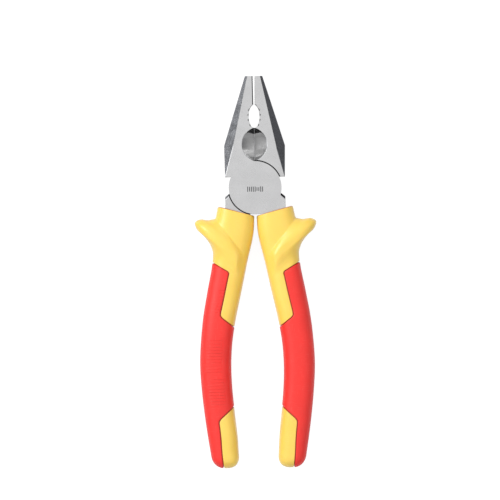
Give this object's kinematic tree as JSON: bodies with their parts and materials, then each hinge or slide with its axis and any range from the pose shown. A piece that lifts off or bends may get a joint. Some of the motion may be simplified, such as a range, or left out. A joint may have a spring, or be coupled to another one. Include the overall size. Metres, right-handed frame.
{
  "type": "insulated lineman pliers",
  "caption": "Insulated combination pliers: two crossing forged halves on a rivet, with flat grip, toothed pipe grip, side cutter and guarded two-part handles.",
  "frame": {"origin": "on the pivot axis, at the rear face of the head, where the rivet's head is ground flush", "axes": "+Y from the pivot to the jaw tips, +X to the right seen from the front, +Z out of the front face, along the pivot"},
  "size_m": [0.0624, 0.2002, 0.0212],
  "materials": {
    "forged_steel": "satin ground",
    "rivet_steel": "ground flush",
    "sleeve_plastic": "semi-gloss moulded",
    "soft_grip": "satin soft moulded"
  },
  "bodies": {
    "front_half": {"front_jaw_half": "forged_steel", "pivot_rivet": "rivet_steel", "right_sleeve": "sleeve_plastic", "right_soft_grip": "soft_grip"},
    "rear_half": {"rear_jaw_half": "forged_steel", "left_sleeve": "sleeve_plastic", "left_soft_grip": "soft_grip"}
  },
  "joints": [
    {"name": "pivot", "type": "hinge", "parent": "front_half", "child": "rear_half", "pos_m": [0, 0, 0], "axis": [0, 0, -1], "range_deg": [0, 36]}
  ]
}
